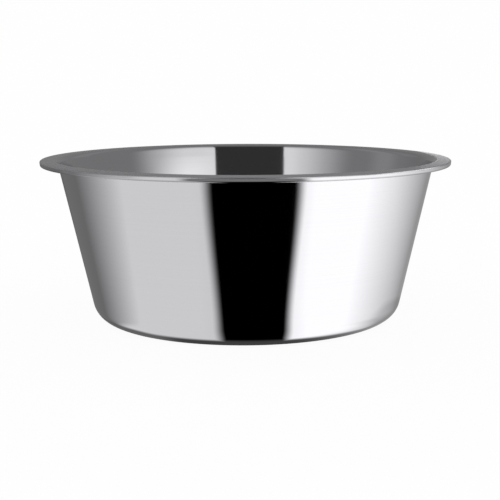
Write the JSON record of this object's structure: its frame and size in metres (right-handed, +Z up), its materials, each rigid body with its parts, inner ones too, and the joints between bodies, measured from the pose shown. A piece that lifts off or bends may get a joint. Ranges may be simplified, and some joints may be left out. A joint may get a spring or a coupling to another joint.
{
  "type": "bowl",
  "caption": "Round tapered bowl pressed from one steel sheet, with a folded brim and a flat foot ring.",
  "frame": {"origin": "middle of the base on the plane that the bowl stands on", "axes": "+Z up the bowl's axis of turning; +X and +Y are free, because the bowl is turned"},
  "size_m": [0.24, 0.24, 0.095],
  "materials": {
    "stainless_steel": "mirror polished stainless steel outside, bright drawn steel inside, with faint turned lines"
  },
  "bodies": {
    "root": {"bowl_shell": "stainless_steel"}
  },
  "joints": []
}
